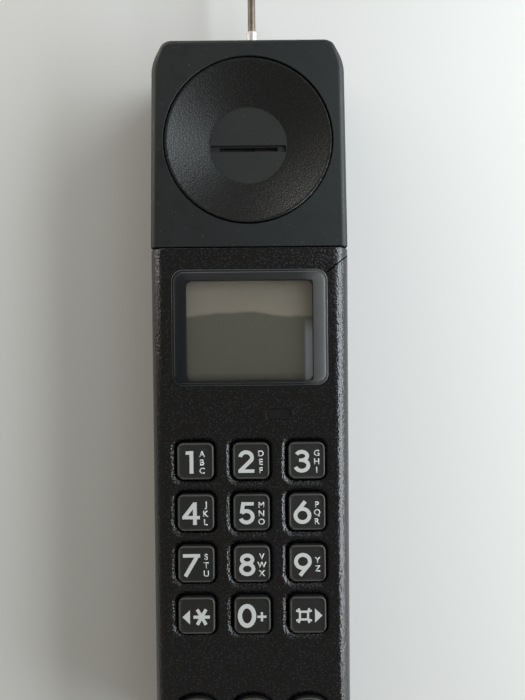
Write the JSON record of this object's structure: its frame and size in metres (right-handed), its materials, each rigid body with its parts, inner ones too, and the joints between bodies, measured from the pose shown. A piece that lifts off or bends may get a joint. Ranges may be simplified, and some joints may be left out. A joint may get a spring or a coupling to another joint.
{
  "type": "cordless phone handset",
  "caption": "Slim hand-held cordless phone with dished earpiece, raised display lens, square number keys, pull-out whip antenna and slide-off battery pack.",
  "frame": {"origin": "middle of the flat back that the phone lies on, half way along the body without its antenna", "axes": "+Z out of the front face, +Y along the body towards the earpiece and antenna, +X to the right seen from the front"},
  "size_m": [0.053, 0.3011, 0.028],
  "materials": {
    "body_plastic": "fine leather-grained black moulding",
    "head_plastic": "smooth matte grey-black moulding",
    "key_plastic": "satin black cap with a paler rim and printed figures",
    "clear_lens": "clear polished plastic with fine scratches",
    "dark_lens": "dark translucent plastic",
    "lcd_glass": "olive-grey reflective display glass",
    "white_plastic": "plain white moulding",
    "black_plastic": "plain black moulding",
    "mat_rubber": "soft silicone rubber",
    "circuit_board": "green solder mask on glass-fibre board",
    "tinned_steel": "thin tinned sheet",
    "brass_parts": "gold-flashed contact metal",
    "nickel": "worn nickel plate",
    "copper_rod": "browned copper-coloured rod",
    "cell_wrap": "shrink sleeve on steel cells"
  },
  "bodies": {
    "handset": {"front_shell": "body_plastic", "head_cover": "head_plastic", "rear_shell": "body_plastic", "earpiece_insert": "head_plastic", "display_lens": "clear_lens", "lcd_frame": "white_plastic", "lcd_panel": "lcd_glass", "light_guide": "white_plastic", "contact_strips": "mat_rubber", "indicator_lens": "dark_lens", "keypad_mat": "mat_rubber", "board_leds": "white_plastic", "main_board": "circuit_board", "radio_board": "circuit_board", "board_connector": "black_plastic", "logic_shield": "tinned_steel", "radio_shield": "tinned_steel", "speaker_capsule": "tinned_steel", "speaker_gasket": "mat_rubber", "microphone": "tinned_steel", "microphone_boot": "mat_rubber", "buzzer": "brass_parts", "backup_cell": "tinned_steel", "antenna_bush": "nickel", "antenna_tube": "white_plastic", "antenna_contact": "brass_parts", "system_connector": "black_plastic", "connector_pins": "brass_parts", "battery_connector": "black_plastic", "battery_springs": "brass_parts", "case_screws": "tinned_steel", "latch_bridge": "tinned_steel"},
    "key_1": {"key_1": "key_plastic"},
    "key_2": {"key_2": "key_plastic"},
    "key_3": {"key_3": "key_plastic"},
    "key_4": {"key_4": "key_plastic"},
    "key_5": {"key_5": "key_plastic"},
    "key_6": {"key_6": "key_plastic"},
    "key_7": {"key_7": "key_plastic"},
    "key_8": {"key_8": "key_plastic"},
    "key_9": {"key_9": "key_plastic"},
    "key_star": {"key_star": "key_plastic"},
    "key_0": {"key_0": "key_plastic"},
    "key_hash": {"key_hash": "key_plastic"},
    "key_end": {"key_end": "key_plastic"},
    "key_menu": {"key_menu": "key_plastic"},
    "key_call": {"key_call": "key_plastic"},
    "antenna": {"antenna_whip": "copper_rod", "antenna_sleeve": "nickel", "antenna_tip": "black_plastic"},
    "battery": {"battery_case": "body_plastic", "battery_cover": "body_plastic", "battery_cells": "cell_wrap", "battery_straps": "tinned_steel", "battery_board": "circuit_board", "battery_pads": "brass_parts"},
    "latch": {"battery_latch": "black_plastic", "latch_spring": "tinned_steel"}
  },
  "joints": [
    {"name": "key_1_press", "type": "slide", "parent": "handset", "child": "key_1", "axis": [0, 0, -1], "range_m": [0, 0.001], "stiffness_N_per_m": 900, "springref_m": -0.0008},
    {"name": "key_2_press", "type": "slide", "parent": "handset", "child": "key_2", "axis": [0, 0, -1], "range_m": [0, 0.001], "stiffness_N_per_m": 900, "springref_m": -0.0008},
    {"name": "key_3_press", "type": "slide", "parent": "handset", "child": "key_3", "axis": [0, 0, -1], "range_m": [0, 0.001], "stiffness_N_per_m": 900, "springref_m": -0.0008},
    {"name": "key_4_press", "type": "slide", "parent": "handset", "child": "key_4", "axis": [0, 0, -1], "range_m": [0, 0.001], "stiffness_N_per_m": 900, "springref_m": -0.0008},
    {"name": "key_5_press", "type": "slide", "parent": "handset", "child": "key_5", "axis": [0, 0, -1], "range_m": [0, 0.001], "stiffness_N_per_m": 900, "springref_m": -0.0008},
    {"name": "key_6_press", "type": "slide", "parent": "handset", "child": "key_6", "axis": [0, 0, -1], "range_m": [0, 0.001], "stiffness_N_per_m": 900, "springref_m": -0.0008},
    {"name": "key_7_press", "type": "slide", "parent": "handset", "child": "key_7", "axis": [0, 0, -1], "range_m": [0, 0.001], "stiffness_N_per_m": 900, "springref_m": -0.0008},
    {"name": "key_8_press", "type": "slide", "parent": "handset", "child": "key_8", "axis": [0, 0, -1], "range_m": [0, 0.001], "stiffness_N_per_m": 900, "springref_m": -0.0008},
    {"name": "key_9_press", "type": "slide", "parent": "handset", "child": "key_9", "axis": [0, 0, -1], "range_m": [0, 0.001], "stiffness_N_per_m": 900, "springref_m": -0.0008},
    {"name": "key_star_press", "type": "slide", "parent": "handset", "child": "key_star", "axis": [0, 0, -1], "range_m": [0, 0.001], "stiffness_N_per_m": 900, "springref_m": -0.0008},
    {"name": "key_0_press", "type": "slide", "parent": "handset", "child": "key_0", "axis": [0, 0, -1], "range_m": [0, 0.001], "stiffness_N_per_m": 900, "springref_m": -0.0008},
    {"name": "key_hash_press", "type": "slide", "parent": "handset", "child": "key_hash", "axis": [0, 0, -1], "range_m": [0, 0.001], "stiffness_N_per_m": 900, "springref_m": -0.0008},
    {"name": "key_end_press", "type": "slide", "parent": "handset", "child": "key_end", "axis": [0, 0, -1], "range_m": [0, 0.001], "stiffness_N_per_m": 900, "springref_m": -0.0008},
    {"name": "key_menu_press", "type": "slide", "parent": "handset", "child": "key_menu", "axis": [0, 0, -1], "range_m": [0, 0.001], "stiffness_N_per_m": 900, "springref_m": -0.0008},
    {"name": "key_call_press", "type": "slide", "parent": "handset", "child": "key_call", "axis": [0, 0, -1], "range_m": [0, 0.001], "stiffness_N_per_m": 900, "springref_m": -0.0008},
    {"name": "antenna_slide", "type": "slide", "parent": "handset", "child": "antenna", "axis": [0, -1, 0], "range_m": [0, 0.0836]},
    {"name": "battery_slide", "type": "slide", "parent": "handset", "child": "battery", "axis": [0, -1, 0], "range_m": [0, 0.104]},
    {"name": "latch_press", "type": "slide", "parent": "handset", "child": "latch", "axis": [0, 0, 1], "range_m": [0, 0.0015], "stiffness_N_per_m": 900, "springref_m": -0.001, "deforming": ["latch_spring"]}
  ]
}
